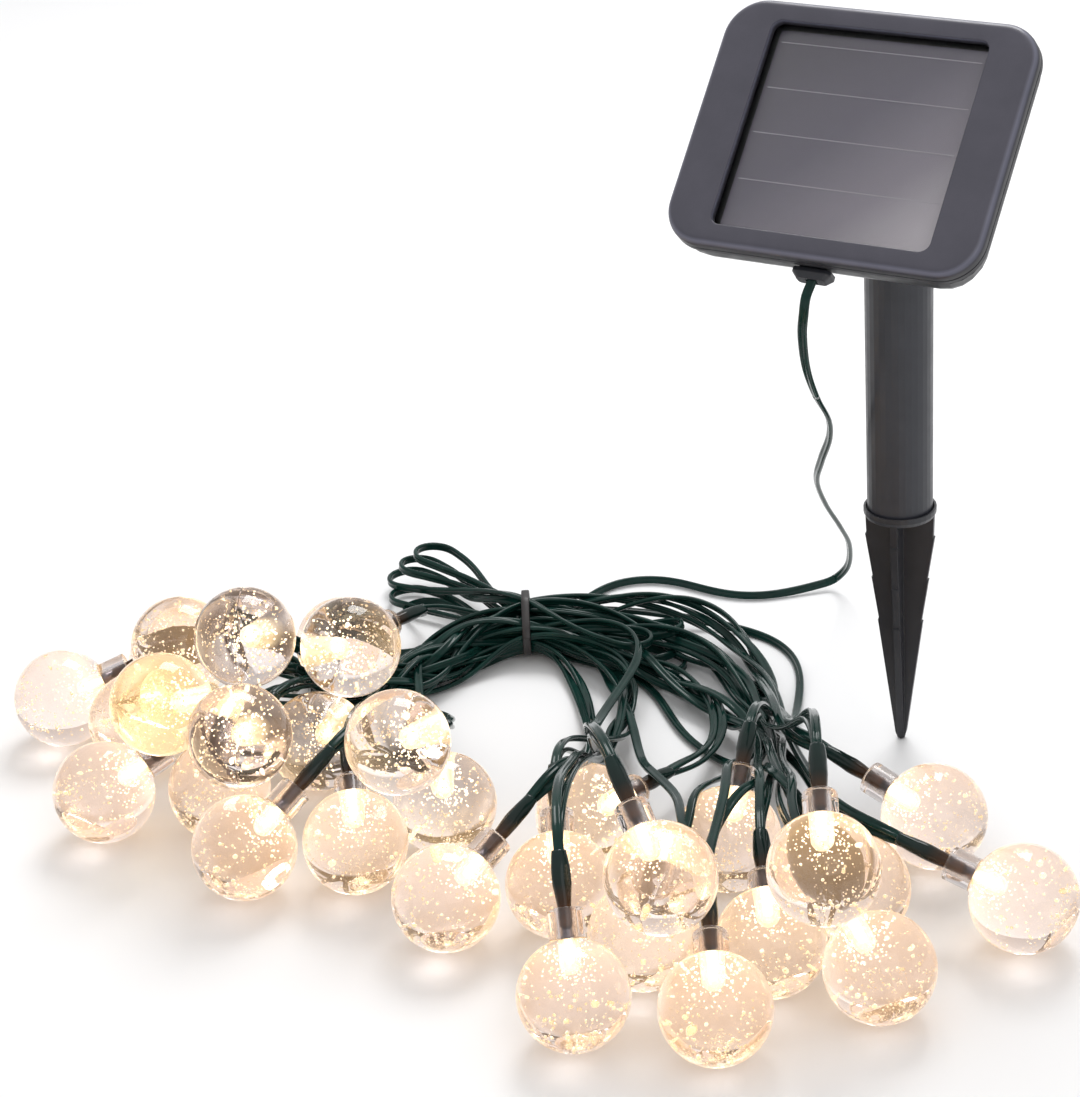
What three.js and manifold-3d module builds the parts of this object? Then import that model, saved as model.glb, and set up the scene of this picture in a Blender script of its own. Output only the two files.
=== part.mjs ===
// Solar string lights: thirty clear globes on a flat twin cable, gathered by a tie, and
// their solar panel on a ground stake.  Millimetres, +Z up, origin at the tip of the spike.
import * as THREE from "three";
import { mergeVertices } from "three/addons/utils/BufferGeometryUtils.js";
import Module from "manifold-3d";

const wasm = await Module();
wasm.setup();

// ---------------------------------------------------------------- driving dimensions
const GAP = 0.3;                    // clearance between touching pieces

// lamps
const GLOBE_DIAMETER = 30;
const COLLAR_DIAMETER = 9.5;        // clear neck moulded on the globe
const COLLAR_REACH = 22.5;          // globe centre to the end of the neck
const LED_BORE = 3.9;               // bore that takes the lamp holder
const BORE_DEPTH_PAST_CENTRE = 2;
const GLOBE_SEGMENTS = 12;
const GLOBE_RINGS = 7;

// stake
const TUBE_DIAMETER = 19.8;         // at the top; the tube is a little slimmer at its foot
const TUBE_FOOT_DIAMETER = 19.2;
const TUBE_WALL = 1.6;
const TUBE_BOTTOM = 76.4;
const TUBE_TOP = 166;
const DISH_DIAMETER = 21.4;         // flange of the spike, with a low rim round the tube
const DISH_WALL = 0.7;
const DISH_FLOOR = 76;
const DISH_RIM = 77.6;
const DISH_UNDERSIDE = 74.8;
const PLUG_TOP = 98;                // the spike's plug goes this far up inside the tube
const FIN_THICKNESS = 2.2;
const FIN_TIP_HEIGHT = 2.2;
const FIN_TIP_WIDTH = 3.2;
const SPIKE_TURN = 13;              // the fins stand turned from the panel's front, degrees
const BARBS = [                     // from the tip up: height, width just below and above
  { z: 40, below: 13.4, above: 12.6 },
  { z: 54, below: 17, above: 16.2 },
  { z: 68, below: 20.6, above: 19.8 },
];

// solar head
const HEAD_TILT = 43.5;             // panel normal above the horizon, degrees
const HEAD_ASIDE = -2;              // the head stands this far to one side of the stake
const FACE_WIDTH = 90.6;
const FACE_HEIGHT = 72.4;
const FACE_EDGE = 1.3;              // rounded edge round the front
const CORNER = 10.5;
const OPENING_WIDTH = 64.6;
const OPENING_HEIGHT = 62.4;
const WINDOW_RECESS = 3;
const WINDOW_THICKNESS = 1.4;
const CELL_THICKNESS = 1;
const FRAME_DEPTH = 5.6;
const SEAL_DEPTH = 0.8;
const HOUSING_DEPTH = 14.4;         // front face to the back of the flat rear shell
const BULGE_DEPTH = 23.6;           // front face to the back of the battery box
const WALL = 1.7;
const PIVOT = [0, 0, 178];          // tilt hinge, on the stake's axis
const PIVOT_DEPTH = 35.5;           // front face to the hinge, along the panel's normal
const PIVOT_UP = 3.3;               // hinge above the panel's middle, along the panel
const LUG_SPACING = 11;             // between the two lugs of the head
const LUG_THICKNESS = 3.4;
const LUG_RADIUS = 6.5;
const BOLT_DIAMETER = 5;
const CELL_DIAMETER = 14.2;         // AA battery
const CELL_LENGTH = 49;
const CELL_BUTTON = 5.4;
const PLATE_SIZE = [0.6, 10, 9];    // battery contact at the button's end
const PLATE_ACROSS = 27.5;
const SPRING_LENGTH = 3.6;          // battery contact at the flat end
const SPRING_FOOT = 8;
const SPRING_TOP = 4.8;
const BOARD_SIZE = [46, 26];
const BOARD_PLACE = [-14, -14];     // across and up from the panel's middle
const KNOB_HUB = 14;
const KNOB_DEPTH = 8;
const KNOB_WINGS = [5, 24, 3.4];
const BOLT_HEAD = 8.8;

// cable
const CORD_WIDTH = 2.8;             // flat twin cable, over both cores
const HANK_FOOT = 2;
const HANK_TOP = 18;
const HANK_WIDTH = 25;              // at the tie
const TIE_WIDTH = 2.6;
const TIE_THICKNESS = 1.1;
const TIE_PLACE = [-134, 5.5];
const TIE_TURN = 30;                // the tie crosses the hank, degrees from +Y

// ---------------------------------------------------------------- materials
const paint = (color, roughness, metalness = 0) =>
  new THREE.MeshStandardMaterial({ color, roughness, metalness });
const MATERIALS = {
  anthracite: paint(0x3a3c42, 0.5),
  spike: paint(0x2f3136, 0.55),
  clear: paint(0xf3ead8, 0.05),
  glass: paint(0xaab0b8, 0.08),
  silicon: paint(0x5b5664, 0.3),
  rubber: paint(0x1a1a1c, 0.8),
  board: paint(0x1f5a34, 0.5),
  steel: paint(0xa9abae, 0.3, 1),
  battery: paint(0x2b6b3b, 0.45),
  cable: paint(0x14382f, 0.4),
};

// ---------------------------------------------------------------- helpers
const rad = THREE.MathUtils.degToRad;

/** A closed geometry as a manifold solid. */
function solid(geometry) {
  const bare = geometry.index ? geometry.toNonIndexed() : geometry.clone();
  bare.deleteAttribute("normal");
  bare.deleteAttribute("uv");
  const merged = mergeVertices(bare, 1e-4);
  return new wasm.Manifold(new wasm.Mesh({
    numProp: 3,
    vertProperties: new Float32Array(merged.attributes.position.array),
    triVerts: new Uint32Array(merged.index.array),
  }));
}

/** A manifold solid as a geometry. */
function geometryOf(body) {
  const mesh = body.getMesh();
  const geometry = new THREE.BufferGeometry();
  geometry.setAttribute("position", new THREE.BufferAttribute(mesh.vertProperties, 3));
  geometry.setIndex(new THREE.BufferAttribute(mesh.triVerts, 1));
  return geometry;
}

/** Points round a rectangle with round corners, anticlockwise. */
function roundedOutline(width, height, radius, steps = 5) {
  const points = [];
  const centres = [[1, 1], [-1, 1], [-1, -1], [1, -1]];
  centres.forEach(([sx, sy], quarter) => {
    for (let i = 0; i <= steps; i += 1) {
      const angle = (quarter + i / steps) * Math.PI / 2;
      points.push(new THREE.Vector2(
        sx * (width / 2 - radius) + radius * Math.cos(angle),
        sy * (height / 2 - radius) + radius * Math.sin(angle),
      ));
    }
  });
  return points;
}

/** A solid through rings of equal point count, each { z, points }, from low to high. */
function loft(rings) {
  const count = rings[0].points.length;
  const position = rings.flatMap(({ z, points }) => points.flatMap((p) => [p.x, p.y, z]));
  const index = [];
  for (let ring = 0; ring + 1 < rings.length; ring += 1) {
    for (let i = 0; i < count; i += 1) {
      const a = ring * count + i;
      const b = ring * count + (i + 1) % count;
      index.push(a, b, b + count, a, b + count, a + count);
    }
  }
  const top = (rings.length - 1) * count;
  for (let i = 1; i + 1 < count; i += 1) {
    index.push(0, i + 1, i, top, top + i, top + i + 1);
  }
  const geometry = new THREE.BufferGeometry();
  geometry.setAttribute("position", new THREE.Float32BufferAttribute(position, 3));
  geometry.setIndex(index);
  return geometry;
}

/** A block with round corners between two heights. */
function block(width, height, radius, low, high) {
  const points = roundedOutline(width, height, radius);
  return loft([{ z: low, points }, { z: high, points }]);
}

/** A turned piece from [radius, height] pairs, axis along Z. */
function turned(profile, segments = 24) {
  const points = profile.map(([r, z]) => new THREE.Vector2(r, z));
  const geometry = new THREE.LatheGeometry(points, segments);
  geometry.rotateX(Math.PI / 2);
  return geometry;
}

/** A plain cylinder with its axis along X, centred on the origin. */
function rodX(diameter, length, segments = 20) {
  const geometry = new THREE.CylinderGeometry(diameter / 2, diameter / 2, length, segments);
  geometry.rotateZ(Math.PI / 2);
  return geometry;
}

function moved(geometry, x, y, z) {
  return geometry.clone().translate(x, y, z);
}

const model = new THREE.Group();
const head = new THREE.Group();
const lean = rad(90 - HEAD_TILT);
head.rotation.x = lean;
head.position.set(
  HEAD_ASIDE,
  PIVOT[1] - PIVOT_DEPTH * Math.sin(lean) - PIVOT_UP * Math.cos(lean),
  PIVOT[2] + PIVOT_DEPTH * Math.cos(lean) - PIVOT_UP * Math.sin(lean),
);
model.add(head);

/** Adds one named piece to a group. */
function piece(group, name, shape, material) {
  const geometry = shape.isBufferGeometry ? shape : geometryOf(shape);
  const mesh = new THREE.Mesh(geometry, MATERIALS[material]);
  mesh.name = name;
  group.add(mesh);
  return mesh;
}

// ---------------------------------------------------------------- solar head
// The head is drawn with its front face in the XY plane, facing +Z, and +Y up the panel.

const frameBack = -FRAME_DEPTH;
const windowFront = -WINDOW_RECESS;
const windowBack = windowFront - WINDOW_THICKNESS;
const RIM_WIDTH = FACE_WIDTH + 2 * FACE_EDGE;
const RIM_HEIGHT = FACE_HEIGHT + 2 * FACE_EDGE;
const WINDOW_WIDTH = OPENING_WIDTH + 4;
const WINDOW_HEIGHT = OPENING_HEIGHT + 3;

function frontFrame() {
  const outer = solid(loft([
    { z: frameBack, points: roundedOutline(RIM_WIDTH, RIM_HEIGHT, CORNER + FACE_EDGE) },
    { z: -FACE_EDGE, points: roundedOutline(RIM_WIDTH, RIM_HEIGHT, CORNER + FACE_EDGE) },
    { z: -0.3 * FACE_EDGE, points: roundedOutline(
      FACE_WIDTH + FACE_EDGE, FACE_HEIGHT + FACE_EDGE, CORNER + 0.5 * FACE_EDGE) },
    { z: 0, points: roundedOutline(FACE_WIDTH, FACE_HEIGHT, CORNER) },
  ]));
  const opening = solid(block(OPENING_WIDTH, OPENING_HEIGHT, 3, windowFront - 1, 1));
  const seat = solid(block(
    WINDOW_WIDTH + 2 * GAP, WINDOW_HEIGHT + 2 * GAP, 3, frameBack - 1, windowFront));
  return outer.subtract(opening).subtract(seat);
}

const cellFront = windowBack - GAP;
const cellBack = cellFront - CELL_THICKNESS;
const sealFront = frameBack - GAP;
const sealBack = sealFront - SEAL_DEPTH;
const shellFront = sealBack - GAP;
const shellBack = -HOUSING_DEPTH;
const boxBack = -BULGE_DEPTH;
const SHELL_WIDTH = RIM_WIDTH - 1.6;
const SHELL_HEIGHT = RIM_HEIGHT - 1.2;
const BOX_WIDTH = 62;
const BOX_HEIGHT = 19.5;
const BOX_UP = 23;                  // battery box above the panel's middle
const BOX_WALL = 1.5;
const COVER_THICKNESS = 1.6;
const SWITCH_ACROSS = -28;
const SWITCH_UP = -16;
const SWITCH_DIAMETER = 9;
const GLAND_DEPTH = -10.4;
const GLAND_ACROSS = -2.3;
const GLAND_WIDTH = 11.5;
const LUG_BASE = shellBack + 0.4;

const SCREW_PLACES = [[-36, -26], [36, -26], [-38, 12], [38, 12]];
const SCREW_HEAD = 5.2;
const SCREW_SHANK = 2.4;

function rearHousing() {
  const outer = solid(loft([
    { z: shellBack, points: roundedOutline(SHELL_WIDTH - 9, SHELL_HEIGHT - 5, CORNER - 3) },
    { z: shellBack + 1.6, points: roundedOutline(SHELL_WIDTH - 5, SHELL_HEIGHT - 2, CORNER - 1) },
    { z: shellBack + 4, points: roundedOutline(SHELL_WIDTH - 2, SHELL_HEIGHT - 0.6, CORNER) },
    { z: shellFront, points: roundedOutline(SHELL_WIDTH, SHELL_HEIGHT, CORNER + 0.5) },
  ]));
  const inner = solid(loft([
    { z: shellBack + WALL, points: roundedOutline(
      SHELL_WIDTH - 10, SHELL_HEIGHT - 8, CORNER - 4) },
    { z: shellFront + 1, points: roundedOutline(
      SHELL_WIDTH - 2 * WALL, SHELL_HEIGHT - 2 * WALL, CORNER - 1) },
  ]));
  const box = solid(moved(block(BOX_WIDTH, BOX_HEIGHT, 3, boxBack, shellBack + 1), 0, BOX_UP, 0));
  const boxInside = solid(moved(block(
    BOX_WIDTH - 2 * BOX_WALL, BOX_HEIGHT - 2 * BOX_WALL, 1.5,
    boxBack - 1, shellBack + WALL + 1), 0, BOX_UP, 0));
  const coverSeat = solid(moved(block(
    BOX_WIDTH - 1.4, BOX_HEIGHT - 1.4, 2.4,
    boxBack - 1, boxBack + COVER_THICKNESS), 0, BOX_UP, 0));
  let body = outer.subtract(inner).add(box).subtract(boxInside).subtract(coverSeat);
  for (const side of [-1, 1]) {
    const x = -HEAD_ASIDE + side * (LUG_SPACING + LUG_THICKNESS) / 2;
    const eye = moved(rodX(2 * LUG_RADIUS, LUG_THICKNESS), x, PIVOT_UP, -PIVOT_DEPTH);
    const web = new THREE.BoxGeometry(
      LUG_THICKNESS, 2 * LUG_RADIUS, PIVOT_DEPTH + LUG_BASE);
    web.translate(x, PIVOT_UP, (LUG_BASE - PIVOT_DEPTH) / 2);
    body = body.add(solid(eye)).add(solid(web));
  }
  const pinHole = moved(
    rodX(BOLT_DIAMETER + 2 * GAP, 40), -HEAD_ASIDE, PIVOT_UP, -PIVOT_DEPTH);
  body = body.subtract(solid(pinHole));
  for (const [x, y] of SCREW_PLACES) {
    const hole = turned([[0, -20], [SCREW_SHANK / 2 + GAP, -20], [SCREW_SHANK / 2 + GAP, 0],
      [0, 0]], 12);
    body = body.subtract(solid(moved(hole, x, y, 0)));
  }
  const switchHole = turned([[0, -20], [SWITCH_DIAMETER / 2 + GAP, -20],
    [SWITCH_DIAMETER / 2 + GAP, -8], [0, -8]], 20);
  body = body.subtract(solid(moved(switchHole, SWITCH_ACROSS, SWITCH_UP, 0)));
  const glandHole = new THREE.BoxGeometry(8 + 2 * GAP, 12, 3.2 + 2 * GAP);
  glandHole.translate(GLAND_ACROSS, -SHELL_HEIGHT / 2, GLAND_DEPTH);
  return body.subtract(solid(glandHole));
}

function housingSeal() {
  const ring = solid(block(RIM_WIDTH - 5, RIM_HEIGHT - 5, CORNER - 1.5, sealBack, sealFront));
  const hole = solid(block(RIM_WIDTH - 8, RIM_HEIGHT - 8, CORNER - 3, sealBack - 1, 0));
  return ring.subtract(hole);
}

function housingScrew() {
  const headTop = shellBack - GAP;
  return turned([
    [0, headTop - 1.8], [SCREW_HEAD / 2, headTop - 1.4], [SCREW_HEAD / 2, headTop],
    [SCREW_SHANK / 2, headTop], [SCREW_SHANK / 2, sealBack - 2], [0, sealBack - 1],
  ], 12);
}

function cableGland() {
  const stem = new THREE.BoxGeometry(8, 6, 3.2);
  const flange = solid(loft([
    { z: 0, points: roundedOutline(GLAND_WIDTH, 5.8, 1.6) },
    { z: 1.2, points: roundedOutline(GLAND_WIDTH, 5.8, 1.6) },
    { z: 2.8, points: roundedOutline(GLAND_WIDTH - 3, 4, 1.2) },
  ]).rotateX(Math.PI / 2));
  const slot = new THREE.BoxGeometry(CORD_WIDTH + 2 * GAP, 14, 1.6 + 2 * GAP);
  const under = -SHELL_HEIGHT / 2 - GAP;
  const whole = solid(moved(stem, 0, 2.9, 0)).add(flange).subtract(solid(slot));
  return whole.translate([GLAND_ACROSS, under, GLAND_DEPTH]);
}

piece(head, "front_frame", frontFrame(), "anthracite");
piece(head, "panel_window", block(
  WINDOW_WIDTH, WINDOW_HEIGHT, 2.7, windowBack, windowFront - GAP), "glass");
piece(head, "solar_cell", block(62, 60, 1, cellBack, cellFront), "silicon");
piece(head, "housing_seal", housingSeal(), "rubber");
piece(head, "rear_housing", rearHousing(), "anthracite");
SCREW_PLACES.forEach(([x, y], i) => {
  piece(head, `housing_screw_${i + 1}`, moved(housingScrew(), x, y, 0), "steel");
});
piece(head, "cable_gland", cableGland(), "rubber");

// battery, its contacts and the lift-off cover of its box
const cellMiddle = boxBack + COVER_THICKNESS + 1.4 + CELL_DIAMETER / 2;
const battery = turned([
  [0, -CELL_LENGTH / 2], [CELL_DIAMETER / 2, -CELL_LENGTH / 2],
  [CELL_DIAMETER / 2, CELL_LENGTH / 2 - 1], [CELL_BUTTON / 2, CELL_LENGTH / 2 - 1],
  [CELL_BUTTON / 2, CELL_LENGTH / 2], [0, CELL_LENGTH / 2],
]).rotateY(Math.PI / 2);
piece(head, "battery_cell", moved(battery, 0, BOX_UP, cellMiddle), "battery");
const contactPlate = new THREE.BoxGeometry(...PLATE_SIZE);
piece(head, "contact_plate", moved(contactPlate, PLATE_ACROSS, BOX_UP, cellMiddle), "steel");
const contactSpring = turned([
  [0, -SPRING_LENGTH - GAP], [SPRING_FOOT / 2, -SPRING_LENGTH - GAP],
  [SPRING_TOP / 2, -GAP], [0, -GAP],
], 16).rotateY(Math.PI / 2);
piece(head, "contact_spring", moved(
  contactSpring, -CELL_LENGTH / 2 - 0.1, BOX_UP, cellMiddle), "steel");
piece(head, "cover_seal", solid(block(
  BOX_WIDTH - 3.4, BOX_HEIGHT - 3.4, 1.5, 0, 0.8)).subtract(solid(block(
  BOX_WIDTH - 7, BOX_HEIGHT - 7, 1, -1, 2)))
  .translate([0, BOX_UP, boxBack + COVER_THICKNESS + 0.1]), "rubber");
piece(head, "battery_cover", moved(block(
  BOX_WIDTH - 2, BOX_HEIGHT - 2, 2.1,
  boxBack - 0.6, boxBack + COVER_THICKNESS - GAP), 0, BOX_UP, 0), "anthracite");

// circuit board under the cell, and the push switch behind it
const boardFront = cellBack - 1;
piece(head, "circuit_board", moved(
  block(...BOARD_SIZE, 1, boardFront - 1, boardFront), ...BOARD_PLACE, 0), "board");
piece(head, "switch_button", moved(turned([
  [0, shellBack - 2.2], [SWITCH_DIAMETER / 2 - 0.6, shellBack - 2.2],
  [SWITCH_DIAMETER / 2, shellBack - 1.6], [SWITCH_DIAMETER / 2, shellBack + 2.4],
  [0, shellBack + 2.4],
], 20), SWITCH_ACROSS, SWITCH_UP, 0), "rubber");

// ---------------------------------------------------------------- tilt hinge and stake

function postBracket() {
  const plugDiameter = TUBE_FOOT_DIAMETER - 2 * TUBE_WALL - 2 * GAP;
  const plug = turned([
    [0, TUBE_TOP - 12], [plugDiameter / 2, TUBE_TOP - 12], [plugDiameter / 2, TUBE_TOP + GAP],
    [TUBE_DIAMETER / 2, TUBE_TOP + GAP], [TUBE_DIAMETER / 2, TUBE_TOP + 2], [0, TUBE_TOP + 2],
  ]);
  const tongue = LUG_SPACING - 2 * GAP;
  const web = new THREE.BoxGeometry(tongue, 2 * LUG_RADIUS - 1, PIVOT[2] - TUBE_TOP);
  web.translate(0, 0, (PIVOT[2] + TUBE_TOP) / 2);
  const eye = moved(rodX(2 * LUG_RADIUS - 1, tongue), ...PIVOT);
  const hole = moved(rodX(BOLT_DIAMETER + 2 * GAP, 40), ...PIVOT);
  return solid(plug).add(solid(web)).add(solid(eye)).subtract(solid(hole));
}
piece(model, "post_bracket", postBracket(), "anthracite");

const lugOutside = LUG_SPACING / 2 + LUG_THICKNESS;
const boltHeadInner = -lugOutside - GAP;
const boltEnd = lugOutside + 9;
piece(model, "tilt_bolt", moved(turned([
  [0, boltHeadInner - 3], [BOLT_HEAD / 2, boltHeadInner - 3], [BOLT_HEAD / 2, boltHeadInner],
  [BOLT_DIAMETER / 2, boltHeadInner], [BOLT_DIAMETER / 2, boltEnd], [0, boltEnd],
], 16).rotateY(Math.PI / 2), ...PIVOT), "steel");

function tiltKnob() {
  const inner = lugOutside + GAP;
  const outer = inner + KNOB_DEPTH;
  const hub = solid(turned([
    [0, inner], [KNOB_HUB / 2, inner], [KNOB_HUB / 2, outer], [0, outer],
  ], 20).rotateY(Math.PI / 2));
  const wings = new THREE.BoxGeometry(...KNOB_WINGS);
  wings.translate(outer - KNOB_WINGS[0] / 2 - 0.2, 0, 0);
  const bore = solid(turned([[0, inner - 1], [BOLT_DIAMETER / 2 + GAP, inner - 1],
    [BOLT_DIAMETER / 2 + GAP, boltEnd + GAP], [0, boltEnd + GAP]], 16).rotateY(Math.PI / 2));
  return hub.add(solid(wings)).subtract(bore);
}
piece(model, "tilt_knob", tiltKnob().translate(PIVOT), "anthracite");

const bore = TUBE_FOOT_DIAMETER / 2 - TUBE_WALL;
piece(model, "stake_tube", turned([
  [bore, TUBE_BOTTOM], [TUBE_FOOT_DIAMETER / 2, TUBE_BOTTOM], [TUBE_DIAMETER / 2, TUBE_TOP],
  [bore, TUBE_TOP], [bore, TUBE_BOTTOM],
], 32), "anthracite");

/** One fin of the spike, drawn in the XZ plane and centred on the axis. */
function finBlade() {
  const edge = [[FIN_TIP_WIDTH / 2, FIN_TIP_HEIGHT]];
  for (const barb of BARBS) edge.push([barb.below / 2, barb.z], [barb.above / 2, barb.z]);
  edge.push([DISH_DIAMETER / 2 - 0.5, DISH_UNDERSIDE + 0.5]);
  const shape = new THREE.Shape();
  shape.moveTo(0, 0);
  shape.lineTo(0.9, 0.5);
  edge.forEach(([x, z]) => shape.lineTo(x, z));
  edge.reverse().forEach(([x, z]) => shape.lineTo(-x, z));
  shape.lineTo(-0.9, 0.5);
  shape.closePath();
  const blade = new THREE.ExtrudeGeometry(shape, { depth: FIN_THICKNESS, bevelEnabled: false });
  blade.translate(0, 0, -FIN_THICKNESS / 2);
  blade.rotateX(Math.PI / 2);
  return blade;
}

function groundSpike() {
  const across = finBlade();
  const along = across.clone().rotateZ(Math.PI / 2);
  const rim = DISH_DIAMETER / 2;
  const plug = bore - GAP;
  const dish = turned([
    [0, DISH_UNDERSIDE], [rim - 0.6, DISH_UNDERSIDE], [rim, DISH_FLOOR], [rim, DISH_RIM],
    [rim - DISH_WALL, DISH_RIM], [rim - DISH_WALL, DISH_FLOOR], [plug, DISH_FLOOR],
    [plug, PLUG_TOP - 1], [plug - 1, PLUG_TOP], [0, PLUG_TOP],
  ], 32);
  const spike = solid(across).add(solid(along)).add(solid(dish));
  return spike.rotate([0, 0, SPIKE_TURN]);
}
piece(model, "ground_spike", groundSpike(), "spike");

// ---------------------------------------------------------------- lamps
// Each lamp lies where the gathered string was put down: its globe's centre, and the way
// its neck points as a compass angle from +X and an angle above the horizon, in degrees.
const LAMPS = [
  [[-234.5, -107.5, 15], 40, 20], [[-187, -150, 15], 60, 20], [[-131, -159, 15], 70, 30],
  [[-104, -143, 15], 125, 20], [[-92, -114, 15], 125, 0], [[-157, -134, 15], 95, 20],
  [[-146, -98, 15], 110, -15], [[-204, -110, 15], 65, -15], [[-216, -73, 15], 65, -15],
  [[-174, -41, 15], 80, -5], [[-189, -104, 41], 50, -25], [[-161, -109, 52], 115, -25],
  [[-139, -87, 43], 150, -25], [[-170, -140, 43], 85, -20], [[-137, -148, 44], 120, -25],
  [[-95, -131, 43], 100, -20], [[-65, -158, 15], 75, 25], [[-51, -103, 15], 80, -5],
  [[-40, -139, 15], 120, 30], [[-10, -185, 15], 125, 50], [[5, -163, 42], 140, 30],
  [[-9, -98, 15], 105, 30], [[-7, -152, 15], 100, 15], [[26, -175, 15], 120, 25],
  [[25, -141, 15], 120, 20], [[42, -143, 43], 118, 28], [[38, -63, 15], 170, 15],
  [[34, -107, 15], 145, 20], [[56, -140, 15], 145, 25], [[77, -93, 15], 180, 15],
];

/** A clear globe with its neck along +Z and the blind bore that takes the lamp holder. */
function globe() {
  const radius = GLOBE_DIAMETER / 2;
  const neck = COLLAR_DIAMETER / 2;
  const root = Math.asin(neck / radius);
  const profile = [[0, -radius]];
  for (let i = 1; i < GLOBE_RINGS; i += 1) {
    const angle = Math.PI - (Math.PI - root) * i / GLOBE_RINGS;
    profile.push([radius * Math.sin(angle), radius * Math.cos(angle)]);
  }
  profile.push([neck, radius * Math.cos(root)], [neck, COLLAR_REACH]);
  profile.push([LED_BORE / 2, COLLAR_REACH], [LED_BORE / 2, -BORE_DEPTH_PAST_CENTRE]);
  profile.push([0, -BORE_DEPTH_PAST_CENTRE]);
  return turned(profile, GLOBE_SEGMENTS);
}

const globeShape = globe();
LAMPS.forEach(([centre, compass, rise], i) => {
  const lamp = piece(model, `globe_${String(i + 1).padStart(2, "0")}`, globeShape, "clear");
  const neckWay = new THREE.Vector3(
    Math.cos(rad(rise)) * Math.cos(rad(compass)),
    Math.cos(rad(rise)) * Math.sin(rad(compass)),
    Math.sin(rad(rise)),
  );
  lamp.position.set(...centre);
  lamp.quaternion.setFromUnitVectors(new THREE.Vector3(0, 0, 1), neckWay);
});

// ---------------------------------------------------------------- cable
/** A round cord of the cable's width along hand-placed points. */
function cord(points, steps) {
  const curve = new THREE.CatmullRomCurve3(points.map((p) => new THREE.Vector3(...p)));
  const section = new THREE.Shape();
  for (let i = 0; i < 8; i += 1) {
    const angle = (i + 0.5) * Math.PI / 4;
    const x = CORD_WIDTH / 2 * Math.cos(angle);
    const y = CORD_WIDTH / 2 * Math.sin(angle);
    if (i === 0) section.moveTo(x, y);
    else section.lineTo(x, y);
  }
  section.closePath();
  return new THREE.ExtrudeGeometry(section, { steps, extrudePath: curve });
}

const LEAD_DROP = [
  [-4.3, -48.7, 163], [-4.8, -50.4, 160.4], [-6.2, -49.4, 154], [-8.8, -45, 147],
  [-12.2, -36, 133], [-15, -24, 119], [-17, -12, 107], [-20.5, -4, 98], [-29, 8, 84],
  [-36.5, 20, 71], [-41, 35, 56], [-44, 52, 40], [-47.5, 66, 27], [-55, 80, 11],
  [-61, 83.6, 4],
];
const LEAD_ON_FLOOR = [
  [-63, 82.8, 2.8], [-70, 76, 1.5], [-82, 65, 1.5], [-96, 63, 1.5], [-111, 65.5, 1.5],
  [-124, 62, 1.5], [-133, 49, 1.8], [-136, 36, 5], [-135, 25, 10],
];
piece(model, "lead_drop", cord(LEAD_DROP, 46), "cable");
piece(model, "lead_on_floor", cord(LEAD_ON_FLOOR, 26), "cable");

/** A flat solid of a smooth closed outline, from one height to another. */
function pad(outline, low, high) {
  const loop = new THREE.CatmullRomCurve3(
    outline.map(([x, y]) => new THREE.Vector3(x, y, 0)), true);
  const shape = new THREE.Shape(loop.getPoints(40).slice(0, -1).map((p) =>
    new THREE.Vector2(p.x, p.y)));
  const slab = new THREE.ExtrudeGeometry(shape, { depth: high - low, bevelEnabled: false });
  slab.translate(0, 0, low);
  return slab;
}

const HANK_OUTLINE = [
  [-104, 32], [-121, 25], [-138, 15], [-158, 20], [-180, 28], [-195, 29], [-201, 21],
  [-194, 11], [-178, -3], [-162, -18], [-149, -20], [-139, -10], [-129, -4], [-112, -3],
  [-97, 6], [-86, 18], [-90, 31],
];
piece(model, "hank", pad(HANK_OUTLINE, HANK_FOOT, HANK_TOP), "cable");
piece(model, "branch_left", pad([
  [-157, -28], [-150, -27], [-145, -36], [-144, -50], [-148, -62], [-153, -61], [-154, -48],
  [-154, -34],
], 0.5, 9), "cable");
piece(model, "branch_front", pad([
  [-100, -8], [-90, -6], [-82, -22], [-70, -44], [-56, -66], [-62, -74], [-74, -70],
  [-84, -48], [-97, -26],
], 0.5, 13), "cable");
piece(model, "branch_right", pad([
  [-80, 8], [-64, 6], [-42, -3], [-18, -18], [-2, -36], [-10, -46], [-28, -36], [-52, -20],
  [-76, -8],
], 0.5, 10), "cable");

function tieBand() {
  const height = HANK_TOP - HANK_FOOT + 2 * GAP;
  const middle = (HANK_TOP + HANK_FOOT) / 2;
  const outer = solid(new THREE.BoxGeometry(
    TIE_WIDTH, HANK_WIDTH + 2 * TIE_THICKNESS, height + 2 * TIE_THICKNESS));
  const inner = solid(new THREE.BoxGeometry(TIE_WIDTH + 2, HANK_WIDTH, height));
  return outer.subtract(inner).rotate([0, 0, TIE_TURN]).translate([...TIE_PLACE, middle]);
}
piece(model, "cable_tie", tieBand(), "rubber");

export default model;
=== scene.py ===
import math

import bmesh
import bpy
import numpy as np
from mathutils import Matrix, Vector


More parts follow.
